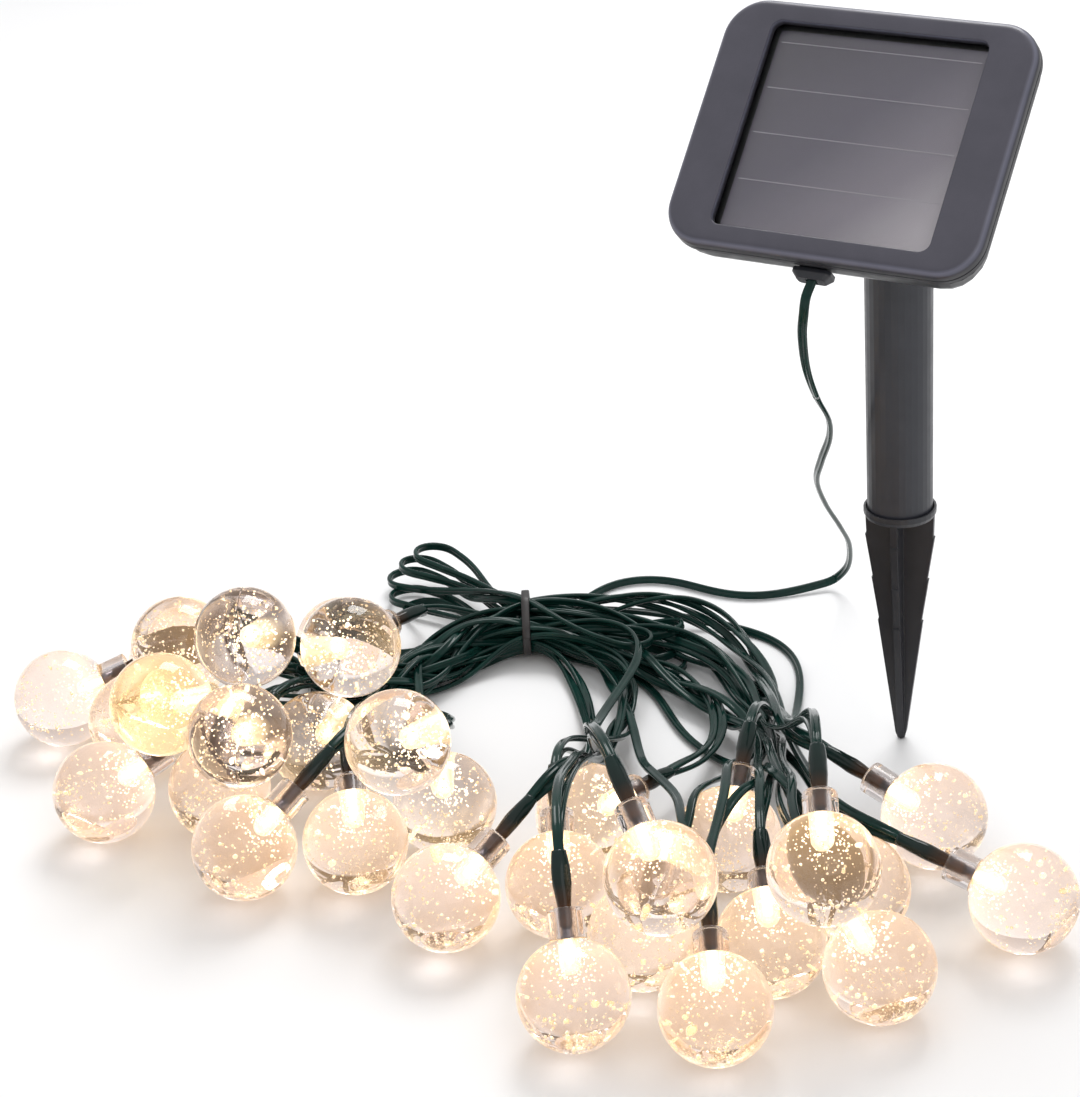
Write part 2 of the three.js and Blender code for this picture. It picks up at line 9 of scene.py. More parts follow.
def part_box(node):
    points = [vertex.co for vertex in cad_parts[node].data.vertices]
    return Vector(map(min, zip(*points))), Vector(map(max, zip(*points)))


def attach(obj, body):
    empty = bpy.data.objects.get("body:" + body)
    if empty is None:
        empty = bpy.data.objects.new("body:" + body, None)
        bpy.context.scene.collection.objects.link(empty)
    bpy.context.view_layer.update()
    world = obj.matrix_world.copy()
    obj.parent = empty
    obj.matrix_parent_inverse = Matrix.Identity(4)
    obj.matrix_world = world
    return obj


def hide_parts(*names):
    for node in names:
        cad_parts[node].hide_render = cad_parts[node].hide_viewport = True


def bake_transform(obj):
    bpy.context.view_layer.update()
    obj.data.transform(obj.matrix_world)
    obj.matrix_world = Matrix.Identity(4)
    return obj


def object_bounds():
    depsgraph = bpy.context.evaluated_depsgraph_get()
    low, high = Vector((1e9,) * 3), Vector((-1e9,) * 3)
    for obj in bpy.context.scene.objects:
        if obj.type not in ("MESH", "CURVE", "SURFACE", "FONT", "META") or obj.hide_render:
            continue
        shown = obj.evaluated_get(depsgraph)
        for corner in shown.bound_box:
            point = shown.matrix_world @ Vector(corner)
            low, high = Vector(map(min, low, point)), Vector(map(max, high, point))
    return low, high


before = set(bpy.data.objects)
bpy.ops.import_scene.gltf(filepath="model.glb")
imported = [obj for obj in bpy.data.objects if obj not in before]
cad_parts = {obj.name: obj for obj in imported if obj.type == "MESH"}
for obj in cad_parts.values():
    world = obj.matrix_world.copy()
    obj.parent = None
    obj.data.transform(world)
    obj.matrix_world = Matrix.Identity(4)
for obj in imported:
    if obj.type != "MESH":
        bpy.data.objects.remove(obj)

CAD_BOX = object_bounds()
LAMP_COUNT = 30
LAMPS = [f"globe_{i:02d}" for i in range(1, LAMP_COUNT + 1)]
MILKY_LAMP = "globe_14"
STRING = "spike_and_string"  # the body that the string and the spike ride on

# sizes, in metres; a lamp's are measured along its neck from the globe's centre
GLOBE_RADIUS = 0.015
COLLAR_RADIUS = 0.00475
COLLAR_REACH = 0.0225  # end of the clear neck
BORE_RADIUS, BORE_END = 0.00195, 0.0036
LED_RADIUS, LED_TIP, LED_MIDDLE, LED_BASE = 0.0011, 0.0055, 0.0075, 0.0118
SLEEVE_RADIUS = 0.0023  # heat-shrink sleeve behind the neck
SLEEVE_START, SLEEVE_END = 0.0178, 0.038
CORD_WIDTH = 0.0028  # flat twin cable, over both cores
CORE_RADIUS = 0.00072
FLOOR_LIFT = 0.0012  # a resting cable's middle above the floor

# the head's sizes, as in the CAD, and the way up its panel
PANEL_UP = (0, 0.6884, 0.7254)
FACE_EDGE, LIP, GROOVE, FRAME_DEPTH, WINDOW_RECESS = 0.0024, 0.0004, 0.0003, 0.0056, 0.003
# widths, heights and corner radii
RIM, OPENING, WINDOW = (0.0932, 0.075, 0.0118), (0.0646, 0.0624, 0.003), (0.0692, 0.066, 0.003)


# ---- objects and meshes

def placed(name, data):
    """An object of that data, in the scene."""
    made = bpy.data.objects.new(name, data)
    bpy.context.scene.collection.objects.link(made)
    return made


def mesh_of(name, points, faces, smooth=True):
    """A mesh of points and faces, shaded as round or as flat."""
    mesh = bpy.data.meshes.new(name)
    mesh.from_pydata(np.array(points, float).reshape(-1, 3).tolist(), [], faces)
    mesh.polygons.foreach_set("use_smooth", [smooth] * len(faces))
    return mesh


def outward_faces(mesh):
    """Turns a closed mesh's faces outward."""
    work = bmesh.new()
    work.from_mesh(mesh)
    bmesh.ops.recalc_face_normals(work, faces=work.faces)
    work.to_mesh(mesh)
    work.free()


def ring_faces(count, around, closed=False):
    """The faces between rings of points, and from the last ring to the first if closed."""
    return [(k * around + i, k * around + (i + 1) % around,
             (k + 1) % count * around + (i + 1) % around, (k + 1) % count * around + i)
            for k in range(count if closed else count - 1) for i in range(around)]


def lengths(rows):
    """The length of each vector."""
    return np.linalg.norm(rows, axis=1)


def corners_of(node_name):
    """The points of a CAD node."""
    return np.array([v.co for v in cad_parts[node_name].data.vertices])


def camera():
    """The photograph's view: a long lens, above and to the right of the stake's front."""
    data = bpy.data.cameras.new("camera")
    data.lens = 105.0
    data.sensor_width = 36.0
    data.clip_start, data.clip_end = 0.05, 20
    eye = placed("camera", data)
    place = Matrix.Translation((0.3491, -0.7821, 0.474))
    for angle, axis in ((31.17, "Z"), (90 - 25.4, "X"), (-3.41, "Z")):  # turn, pitch, roll
        place = place @ Matrix.Rotation(math.radians(angle), 4, axis)
    eye.matrix_world = place
    bpy.context.scene.camera = eye


camera()


# ---- where the lamps are

def lamp_place(name):
    """Centre and neck direction of a globe, from its own solid, which is turned about its neck."""
    points = corners_of(name)
    middle = points.mean(0)
    values, vectors = np.linalg.eigh(np.cov((points - middle).T))
    odd_one = 0 if abs(values[1] - values[0]) > abs(values[2] - values[1]) else 2
    axis = vectors[:, odd_one]
    along = (points - middle) @ axis
    off = lengths(points - middle - along[:, None] * axis)
    if off[along.argmax()] < off[along.argmin()]:
        axis, along = -axis, -along
    return middle + axis * (along.max() - COLLAR_REACH), axis


PLACES = {name: lamp_place(name) for name in LAMPS}


# ---- routes of the cables
# The tie holds every strand in an ellipse.  `ALONG` runs through it from the lamps heaped on
# one side to those on the other, and `ACROSS` goes to the back.
TIE = np.array((-0.134, 0.0055, 0.0101))
TIE_TURN = math.radians(30)
ALONG = np.array((math.cos(TIE_TURN), math.sin(TIE_TURN), 0))
ACROSS = np.array((-math.sin(TIE_TURN), math.cos(TIE_TURN), 0))
TIE_HALF_WIDTH, TIE_HALF_HEIGHT = 0.0112, 0.0088
STEP = 0.0024  # between a strand's points while it settles
SPACING = 0.0026  # two strands' middles come this near
FOLD_RADIUS = 0.0066


def mm(*points):
    """Points that are given in millimetres, to a tenth."""
    return [tuple(round(10 * value) / 10000 for value in point) for point in points]


# branches of the right-hand lamps, each from the tie outward
FRONT = mm((-108, 0, 9), (-90, -8, 12), (-78, -30, 12), (-69, -62, 14))
LOW = mm((-118, -6, 4), (-104, -15, 5), (-92, -31, 7), (-83, -45, 9), (-70, -68, 15))
ARCH = mm((-108, 10, 17), (-90, 4, 19), (-83, -16, 19), (-79, -38, 19), (-69, -66, 24), (-50, -102, 46))
MIDDLE = mm((-106, 6, 10), (-80, -3, 10), (-56, -14, 10), (-34, -30, 12))
LOOSE = mm((-106, 4, 6), (-86, 0, 3), (-73, -12, 2), (-64, -30, 2), (-55, -36, 2), (-44, -34, 4),
           (-28, -44, 9))
BACK = mm((-106, 19, 12), (-81, 19, 10), (-56, 4, 9), (-36, -18, 10))
EDGE = mm((-110, 31, 17), (-90, 38, 13), (-68, 28, 9), (-50, 4, 9), (-34, -22, 13))
OUTER = mm((-106, 33, 11), (-83, 41, 5), (-66, 45, 3), (-51, 32, 3), (-36, 2, 5), (-26, -24, 12))

# both strands of each right-hand lamp, globe_17 and on: how far back in the tie each lies, from
# -1 to 1, and its points from the tie to the lamp
RIGHT = dict(zip(LAMPS[16:], [
    [(-0.97, LOW), (-0.85, FRONT)],
    [(-0.15, MIDDLE[:3] + mm((-44, -36, 8))), (0.05, MIDDLE[:3] + mm((-41, -34, 11)))],
    [(-0.75, FRONT), (-0.93, LOW)],
    [(-0.88, FRONT + mm((-53, -105, 38))), (-0.8, FRONT + mm((-50, -105, 38)))],
    [(-0.3, ARCH), (-0.6, FRONT + mm((-54, -92, 34)))],
    [(0.3, BACK), (0.1, MIDDLE)],
    [(-0.5, FRONT[:3] + mm((-58, -60, 12))), (-0.05, MIDDLE)],
    [(0.0, MIDDLE), (0.42, BACK)],
    [(0.2, MIDDLE), (0.38, BACK)],
    [(0.75, EDGE + mm((2, -70, 46))), (0.65, EDGE + mm((0, -72, 44)))],
    [(0.97, OUTER), (0.8, EDGE[:4])],
    [(-0.4, LOOSE), (0.5, BACK)],
    [(0.55, BACK), (0.25, BACK)],
    [(0.7, EDGE[:4]), (0.45, BACK)],
]))

# the points through which the left-hand lamps' strands are gathered, toward the tie
NEAR = mm((-150, -44, 8), (-147, -20, 9))
FAR = mm((-176, -46, 8), (-158, -18, 9))
LEFT = {f"globe_{i:02d}": NEAR for i in (3, 4, 5, 6, 7, 12, 13, 14, 15, 16)}
LEFT.update({f"globe_{i:02d}": FAR for i in (1, 2, 8, 9, 11)})
LEFT["globe_10"] = mm((-160, 8, 12))

# the lead from its gland down to the floor, and on the floor to the tie
LEAD_DROP = mm((-4.3, -48.7, 163), (-4.8, -50.4, 160.4), (-6.2, -49.4, 154), (-8.8, -45, 147),
               (-12.2, -36, 133), (-15, -24, 119), (-17, -12, 107), (-20.5, -4, 98), (-29, 8, 84),
               (-36.5, 20, 71), (-41, 35, 56), (-44, 52, 40), (-47.5, 66, 27), (-55, 80, 11),
               (-61, 83.6, 4))
LEAD_ON_FLOOR = mm((-63, 82.8, 2.8), (-70, 76, 1.5), (-82, 65, 1.5), (-96, 63, 1.5),
                   (-111, 65.5, 1.5), (-124, 62, 1.5), (-133, 49, 1.8), (-136, 36, 5), (-135, 25, 10))
# the ends of the lead's folds, left and right of the tie: where each fold turns back
LEFT_FOLDS = mm((-197, 24, 16.5), (-201, 20, 13), (-204.5, 18, 8.5), (-199, 10, 6.5), (-190, 6, 4))
RIGHT_FOLDS = mm((-80, 28, 12), (-74, 18, 5), (-82, 12, 14), (-78, 22, 8))


def on_line(t, start, end, a, b):
    """The place at t on the line from a, at `start`, to b."""
    return (end - t) / (end - start) * a + (t - start) / (end - start) * b


def smooth_line(points, step):
    """A centripetal Catmull-Rom curve through the points, in equal steps."""
    p = np.array(points, float)
    p = np.vstack([2 * p[0] - p[1], p, 2 * p[-1] - p[-2]])
    knots = np.concatenate([[0], np.cumsum(lengths(np.diff(p, axis=0)) ** 0.5)])
    made = []
    for i in range(1, len(p) - 2):
        t0, t1, t2, t3 = knots[i - 1:i + 3]
        t = np.linspace(t1, t2, 24, endpoint=False)[:, None]
        a1 = on_line(t, t0, t1, p[i - 1], p[i])
        a2 = on_line(t, t1, t2, p[i], p[i + 1])
        a3 = on_line(t, t2, t3, p[i + 1], p[i + 2])
        b1 = on_line(t, t0, t2, a1, a2)
        b2 = on_line(t, t1, t3, a2, a3)
        made.append(on_line(t, t1, t2, b1, b2))
    made.append(p[-2][None])
    return resampled(np.vstack(made), step)


def resampled(line, step):
    """The line again, with its points one step apart."""
    far = np.concatenate([[0], np.cumsum(lengths(np.diff(line, axis=0)))])
    at = np.linspace(0, far[-1], max(2, round(far[-1] / step) + 1))
    return np.stack([np.interp(at, far, line[:, k]) for k in range(3)], axis=1)


def level_side(lamp):
    """The level direction across a lamp's neck, as the cable lies in its sleeve."""
    side = np.cross(PLACES[lamp][1], (0, 0, 1))
    return side / np.linalg.norm(side)


def sleeve_out(lamp, which):
    """The first points of one of the two strands out of a lamp's sleeve."""
    centre, neck = PLACES[lamp]
    side = np.cross(level_side(lamp), neck)
    beside = side * CORE_RADIUS * (1.05 if which == 0 else -1.05)
    return [centre + neck * far + beside for far in (0.035, 0.039, 0.043, 0.05)]


class Strand:
    """One length of cable: its points, and how many are held at each end."""

    def __init__(self, name, points, ends, held=(4, 4)):
        self.name = name
        self.ends = ends
        self.held = held
        self.points = smooth_line(points, STEP)
        self.ease(8)

    def ease(self, times, held=None):
        """Rounds off the bends, and measures the steps out again."""
        begin, end = held or self.held
        line = self.points
        for _ in range(times):
            between_ends = 0.5 * (line[begin - 1:-end - 1] + line[begin + 1:len(line) - end + 1])
            line[begin:-end] += 0.5 * (between_ends - line[begin:-end])
        self.points = resampled(line, STEP)


def reach(points, lamp):
    """How far it is from the tie through the points to a lamp."""
    return lengths(np.diff(np.array([TIE, *points, PLACES[lamp][0]]), axis=0)).sum()


def through_tie(back, number):
    """A point at each mouth of the tie, for a strand that lies that far back."""
    low_or_high = 2 * ((number * 0.618) % 1) - 1
    height = TIE_HALF_HEIGHT * math.sqrt(max(0.05, 1 - back * back)) * low_or_high * 0.9
    middle = TIE + ACROSS * TIE_HALF_WIDTH * back * 0.92 + np.array((0, 0, height))
    return [middle - ALONG * 0.006, middle + ALONG * 0.006]


def fold_back(end, inward, side):
    """The points round a fold of the lead, from leg to leg."""
    end = np.array(end)
    round_end = [(FOLD_RADIUS * (1 - math.cos(a)), FOLD_RADIUS * math.sin(a))
                 for a in map(math.radians, (90, 45, 0, -45, -90))]
    shape = [(0.024, 0.0045), *round_end, (0.024, -0.0045)]
    return [end + inward * far + ACROSS * out * side for far, out in shape]


def lead_route(first):
    """The lead on the floor: to and fro through the tie, and on to its first lamp."""
    lead = list(LEAD_ON_FLOOR)
    for turn, fold in enumerate(LEFT_FOLDS):
        back = 0.88 - 0.28 * turn
        lead += through_tie(back, turn + 30)[::-1]
        lead += fold_back(fold, ALONG, 1)
        if turn < len(RIGHT_FOLDS):
            lead += through_tie(back - 0.15, turn + 40)
            lead += fold_back(RIGHT_FOLDS[turn], -ALONG, -1)
    return lead[:-1] + LEFT[first][::-1] + sleeve_out(first, 1)[::-1]


def left_route(ends, number):
    """A strand between two left-hand lamps, which turns back beyond the tie."""
    fold = mm((-104, 16, 13), (-100, 11, 13), (-104, 6, 11))
    return (sleeve_out(*ends[0]) + LEFT[ends[0][0]] + through_tie(0.3, number) + fold
            + through_tie(0.1, number + 3)[::-1] + LEFT[ends[1][0]][::-1]
            + sleeve_out(*ends[1])[::-1])


def strand_routes():
    """The strands from lamp to lamp, in the string's order, and the lead in the hank."""
    left = sorted(LEFT, key=lambda lamp: reach(LEFT[lamp][::-1], lamp))
    right = sorted(RIGHT, key=lambda lamp: -sum(reach(way, lamp) for _, way in RIGHT[lamp]))
    order = [lamp for pair in zip(left, right) for lamp in pair] + left[len(right):]
    strands, uses = [], []
    for number, pair in enumerate(zip(order, order[1:])):
        ends = []
        for lamp in pair:
            ends.append((lamp, uses.count(lamp) % 2))
            uses.append(lamp)
        if pair[0] in LEFT and pair[1] in LEFT:
            points = left_route(ends, number)
        else:
            near, far = ends if pair[0] in LEFT else ends[::-1]
            back, branch = RIGHT[far[0]][far[1]]
            points = (sleeve_out(*near) + LEFT[near[0]] + through_tie(back, number)
                      + branch + sleeve_out(*far)[::-1])
        strands.append(Strand(f"strand_{number + 1:02d}", points, ends))
    strands.append(Strand("lead", lead_route(order[0]), [(order[0], 1)], held=(34, 4)))
    return strands


strands = strand_routes()


# ---- settling the cables
GRAVITY = 0.000015  # how far a free point falls in a round
# over how many points a bend is measured, and the share of it that a round takes out
BENDS = ((1, 0.6), (2, 0.3), (4, 0.06))
# the balls of a lamp that strands keep out of: how far along its neck, and their radius
BALLS = ((0.0, GLOBE_RADIUS), (0.019, COLLAR_RADIUS), (0.0265, SLEEVE_RADIUS),
         (0.0315, SLEEVE_RADIUS), (0.0355, SLEEVE_RADIUS))
BALL_GAP = 0.0012  # a strand's middle from a ball
CLOSE = 0.0015  # strands this much further apart may touch within ten rounds
TIE_REACH = 0.005  # along the strands, to either side of the tie's middle
LEAST_CHORD = 0.0092  # across four steps of cable, in the tightest bend it takes
CENTRES = np.array([PLACES[name][0] for name in LAMPS])
NECKS = np.array([PLACES[name][1] for name in LAMPS])


class Heap:
    """The points of all the strands in one array, and what holds them."""

    def __init__(self, strands):
        size = [len(s.points) for s in strands]
        self.first = np.concatenate([[0], np.cumsum(size)[:-1]])
        self.place = np.vstack([s.points for s in strands])
        self.number = np.concatenate([np.arange(n) for n in size])
        self.owner = np.repeat(np.arange(len(strands)), size)
        self.rest = np.concatenate([np.append(lengths(np.diff(s.points, axis=0)), 0)
                                    for s in strands])
        self.free = np.ones(len(self.place))
        for s, start, n in zip(strands, self.first, size):
            self.free[start:start + s.held[0]] = 0
            self.free[start + n - s.held[1]:start + n] = 0
        self.loose = self.free[:, None]
        linked = np.flatnonzero(self.owner[:-1] == self.owner[1:])
        self.links = [linked[self.number[linked] % 2 == k] for k in (0, 1)]


def bend_gently(heap, apart, share):
    """Takes a share out of the bends, measured so many points to each side."""
    later = np.append(heap.owner[apart:], np.full(apart, -1))
    inner = np.flatnonzero((heap.number >= apart) & (later == heap.owner))
    place = heap.place
    bend = 0.5 * (place[inner - apart] + place[inner + apart]) - place[inner]
    shift = np.zeros_like(place)
    shift[inner] += 0.5 * bend
    shift[inner - apart] -= 0.25 * bend
    shift[inner + apart] -= 0.25 * bend
    place += share * shift * heap.loose


def keep_lengths(heap, pairs):
    """Brings each pair of neighbours back to its distance."""
    gap = heap.place[pairs + 1] - heap.place[pairs]
    far = lengths(gap)
    wa, wb = heap.free[pairs], heap.free[pairs + 1]
    push = ((far - heap.rest[pairs]) / np.maximum(far * (wa + wb), 1e-9))[:, None] * gap
    heap.place[pairs] += push * wa[:, None]
    heap.place[pairs + 1] -= push * wb[:, None]


def find_close(heap):
    """Pairs of points near enough to touch within the next few rounds."""
    p = heap.place.astype(np.float32)
    square = (p * p).sum(1)
    found = []
    for start in range(0, len(p), 1500):
        part = slice(start, start + 1500)
        far = square[part, None] + square[None] - 2 * p[part] @ p.T
        a, b = np.nonzero(far < (SPACING + CLOSE) ** 2)
        found.append((a + start, b))
    a, b = (np.concatenate(x) for x in zip(*found))
    apart = (a < b) & ((heap.owner[a] != heap.owner[b])
                       | (np.abs(heap.number[a] - heap.number[b]) > 3))
    heap.close = a[apart], b[apart]


def push_apart(heap):
    """Moves strands that touch a part of the way apart."""
    a, b = heap.close
    gap = heap.place[a] - heap.place[b]
    apart = np.maximum(lengths(gap), 1e-7)
    push = gap * (np.maximum(SPACING - apart, 0) / apart * 0.4)[:, None]
    for k in range(3):
        shift = (np.bincount(a, push[:, k], len(heap.place))
                 - np.bincount(b, push[:, k], len(heap.place)))
        heap.place[:, k] += shift * heap.free


def keep_clear(heap, centres, radius):
    """Moves the points out of balls of that radius."""
    for centre in centres:
        gap = heap.place - centre
        far = lengths(gap)
        inside = far < radius
        heap.place[inside] += (radius / np.maximum(far[inside], 1e-7) - 1)[:, None] * (
            gap[inside] * heap.loose[inside])


def hold_in_tie(heap):
    """Brings the points at the tie back inside its ellipse."""
    out = heap.place - TIE
    across, up = out @ ACROSS / TIE_HALF_WIDTH, out[:, 2] / TIE_HALF_HEIGHT
    over = np.hypot(across, up)
    near = (np.abs(out @ ALONG) < TIE_REACH) & (over > 1) & (over < 3) & (heap.free > 0)
    back = (1 / over[near] - 1)[:, None]
    heap.place[near] += back * (across[near, None] * TIE_HALF_WIDTH * ACROSS
                                + up[near, None] * TIE_HALF_HEIGHT * np.array((0, 0, 1)))


def settle(heap, rounds):
    """Lets the strands fall, clear of the lamps and of each other."""
    for step in range(rounds):
        heap.place[:, 2] -= GRAVITY * heap.free
        for apart, share in BENDS:
            bend_gently(heap, apart, share)
        for pairs in (*heap.links, *heap.links):
            keep_lengths(heap, pairs)
        if step % 10 == 0:
            find_close(heap)
        push_apart(heap)
        for along, radius in BALLS:
            keep_clear(heap, CENTRES + NECKS * along, radius + BALL_GAP)
        hold_in_tie(heap)
        high = heap.place[:, 2]
        heap.place[:, 2] = np.where(heap.free > 0, np.maximum(high, FLOOR_LIFT), high)


def open_bends(strand, rounds):
    """Opens the bends that the cable is too stiff for, without stretching it."""
    line = strand.points
    free = np.ones((len(line), 1))
    free[:strand.held[0]] = free[-strand.held[1]:] = 0
    step = lengths(np.diff(line, axis=0)).mean()
    for _ in range(rounds):
        for apart, least, most in ((4, LEAST_CHORD, 1), (1, step, step)):
            gap = line[apart:] - line[:-apart]
            far = lengths(gap)[:, None]
            push = gap / far * (np.clip(far, least, most) - far) * 0.25
            move = np.zeros_like(line)
            move[apart:] += push
            move[:-apart] -= push
            line += move * free


for rounds in (110, 80, 60):
    heap = Heap(strands)
    settle(heap, rounds)
    for strand, start in zip(strands, heap.first):
        strand.points = heap.place[start:start + len(strand.points)]
        strand.ease(5, (2, 2))
for strand in strands:
    open_bends(strand, 300)
    strand.ease(1, (2, 2))


# ---- the cable's surface
SURFACE_STEP = 0.0014
BENT = 0.12  # the bend over one step that turns a cable to its flat


def flat_twin():
    """The outline of the cable's section: two cores with a groove between."""
    offset = CORD_WIDTH / 2 - CORE_RADIUS
    half = [(offset + CORE_RADIUS * math.cos(a), CORE_RADIUS * math.sin(a))
            for a in np.radians((-110, -75, -40, -12, 12, 40, 75, 110))]
    valley = 0.62 * CORE_RADIUS
    return np.array([(0, -valley), *half, (0, valley), *[(-x, -y) for x, y in half]])


def frames(line, first_side, last_side):
    """The cable's wide direction at each point.  It turns as little as it can, and the cable
    would rather bend over its flat than over its edge."""
    tangent = np.gradient(line, axis=0)
    tangent /= lengths(tangent)[:, None]
    side = np.empty_like(line)
    last = first_side
    for i, way in enumerate(tangent):
        last = last - way * (last @ way)
        side[i] = last = last / np.linalg.norm(last)
    other = np.cross(tangent, side)
    curve = np.gradient(tangent, axis=0)
    bend = lengths(curve)
    axis = np.cross(tangent, curve)
    easy = np.arctan2((axis * other).sum(1), (axis * side).sum(1))
    end = math.atan2(last_side @ other[-1], last_side @ side[-1])
    end = (end + math.pi / 2) % math.pi - math.pi / 2
    turn = np.linspace(0, end, len(line))
    pull = np.minimum(bend / BENT, 1) * 0.04
    for _ in range(300):
        turn[1:-1] = 0.5 * (turn[:-2] + turn[2:]) * 0.98 + 0.02 * turn[1:-1]
        turn += pull * np.sin(2 * (easy - turn)) * 0.5
        turn[0] = 0
        turn[-1] = end
    return (np.cos(turn)[:, None] * side + np.sin(turn)[:, None] * other), tangent


def swept(name, line, sides, tangent):
    """A closed body of the cable's section carried along a line."""
    outline = flat_twin()
    up = np.cross(tangent, sides)
    rings = (line[:, None] + outline[None, :, :1] * sides[:, None] + outline[None, :, 1:] * up[:, None])
    count, around = len(line), len(outline)
    faces = ring_faces(count, around)
    faces += [tuple(range(around))[::-1], tuple(range((count - 1) * around, count * around))]
    return placed(name, mesh_of(name, rings, faces))


# ---- materials

def give(made, inputs):
    """Links inputs of a node, or gives them values."""
    for key, value in inputs.items():
        if isinstance(value, bpy.types.NodeSocket):
            made.id_data.links.new(value, made.inputs[key])
        else:
            made.inputs[key].default_value = value


def feed(shader, **inputs):
    """The same, with the names of the inputs as keywords."""
    give(shader, {key.replace("_", " "): value for key, value in inputs.items()})


def node(tree, kind, inputs, **settings):
    """A new node, with its settings and its inputs."""
    made = tree.nodes.new("ShaderNode" + kind)
    for key, value in settings.items():
        setattr(made, key, value)
    give(made, inputs)
    return made


def material(name, colour, roughness, **inputs):
    """A Principled material, its tree and its shader."""
    made = bpy.data.materials.new(name)
    made.use_nodes = True
    shader = made.node_tree.nodes["Principled BSDF"]
    feed(shader, Base_Color=(*colour, 1), Roughness=roughness, **inputs)
    return made, made.node_tree, shader


def ramp(tree, value, stops):
    """A colour ramp over the value: pairs of a place and a colour, or a level of grey."""
    made = node(tree, "ValToRGB", {"Fac": value})
    while len(made.color_ramp.elements) < len(stops):
        made.color_ramp.elements.new(0.5)
    for element, (place, colour) in zip(made.color_ramp.elements, stops):
        element.position = place
        element.color = (*(colour if isinstance(colour, tuple) else (colour,) * 3), 1)
    return made.outputs["Color"]


def object_space(tree):
    return node(tree, "TexCoord", {}).outputs["Object"]


def axis(tree, which, where=None):
    """One coordinate of a point in object space, or of another vector."""
    return node(tree, "SeparateXYZ", {"Vector": where or object_space(tree)}).outputs[which]


def maths(tree, operation, *values):
    return node(tree, "Math", dict(enumerate(values)), operation=operation).outputs[0]


def vectors(tree, operation, *values):
    return node(tree, "VectorMath", dict(enumerate(values)), operation=operation).outputs


def noise(tree, scale, detail=4, roughness=0.5):
    inputs = {"Scale": scale, "Detail": detail, "Roughness": roughness}
    return node(tree, "TexNoise", {"Vector": object_space(tree), **inputs}).outputs["Fac"]


def stretched(tree, value, low, high, to_low=0.0, to_high=1.0):
    """The value carried from one range to another, and kept inside it."""
    inputs = {"From Min": low, "From Max": high, "To Min": to_low, "To Max": to_high}
    return node(tree, "MapRange", {"Value": value, **inputs}).outputs["Result"]


def between(tree, fac, low, high):
    """A noise stretched to that range."""
    return stretched(tree, fac, 0.3, 0.7, low, high)


def grain(tree, shader, height, depth, edge=0.0):
    """Bumps of that depth in metres, over edges softened by `edge`."""
    inputs = {"Height": height, "Distance": depth, "Strength": 1.0}
    if edge:
        inputs["Normal"] = node(tree, "Bevel", {"Radius": edge}, samples=6).outputs[0]
    feed(shader, Normal=node(tree, "Bump", inputs).outputs["Normal"])


def moulded(name, dark, light, roughness, edge=0.0004):
    """Moulded plastic: fine grained, with a faint mottle in colour and gloss."""
    made, tree, shader = material(name, light, roughness)
    feed(shader, Base_Color=ramp(tree, noise(tree, 90, 5, 0.6), [(0.3, dark), (0.7, light)]),
         Roughness=between(tree, noise(tree, 260), roughness - 0.05, roughness + 0.06))
    grain(tree, shader, noise(tree, 5200, 2), 0.000012, edge)
    return made


def frame_satin():
    """The front frame: satin on its face, with a painted highlight along its rolled edge and painted
    shade on its sides.
    """
    made = moulded("frame_satin", (0.052, 0.05, 0.068), (0.063, 0.06, 0.081), 0.36, 0)
    tree, shader = made.node_tree, made.node_tree.nodes["Principled BSDF"]
    middle, _, _, out = head_place()
    front = float(middle @ out)
    height = vectors(tree, "DOT_PRODUCT", object_space(tree), tuple(out))["Value"]
    # painted highlight on the rolled edge and painted shade on the sides, by height behind the face
    shade = ramp(tree, stretched(tree, height, front, front - PAINTED_LIGHT_DEPTH), FRAME_PAINTED_LIGHT)
    colour = shader.inputs["Base Color"].links[0].from_socket
    mixed = node(tree, "Mix", {6: colour, 7: shade, 0: 1.0}, data_type="RGBA", blend_type="MULTIPLY")
    feed(shader, Base_Color=mixed.outputs[2])
    return made


def metal(name, colour, roughness, edge=0.0002):
    """Plated steel, with fine scratches."""
    made, tree, shader = material(name, colour, roughness, Metallic=1.0)
    feed(shader, Roughness=between(tree, noise(tree, 900), roughness - 0.08, roughness + 0.1))
    grain(tree, shader, noise(tree, 3000, 3), 0.000004, edge)
    return made


def cable_sheath():
    """Glossy dark green PVC, faintly uneven."""
    made, tree, shader = material(
        "dark_green_sheath", (0.0036, 0.024, 0.0195), 0.24, Specular_IOR_Level=0.08,
        Coat_Weight=0.55, Coat_Roughness=0.04, Coat_IOR=1.28)
    feed(shader, Base_Color=ramp(tree, noise(tree, 130, 3), SHEATH_GREENS),
         Roughness=between(tree, noise(tree, 300), 0.16, 0.26))
    grain(tree, shader, noise(tree, 500, 2), 0.00001)
    return made


def heat_shrink():
    """Shiny shrunk tube, lit brown from inside near the lamp."""
    made, tree, shader = material("heat_shrink", (0.006, 0.008, 0.008), 0.13, Specular_IOR_Level=0.12,
                                  Coat_Weight=0.5, Coat_IOR=1.35)
    far = stretched(tree, axis(tree, "Z"), SLEEVE_START, SLEEVE_END)
    feed(shader, Base_Color=ramp(tree, far, SHRINK_COLOURS))
    grain(tree, shader, noise(tree, 300, 2), 0.0001)
    return made


def from_led(tree, near, far):
    """How far a point of a lamp is from its LED, as 0 at `near` to 1 at `far`."""
    gap = vectors(tree, "DISTANCE", object_space(tree), (0, 0, LED_MIDDLE))["Value"]
    return stretched(tree, gap, near, far)


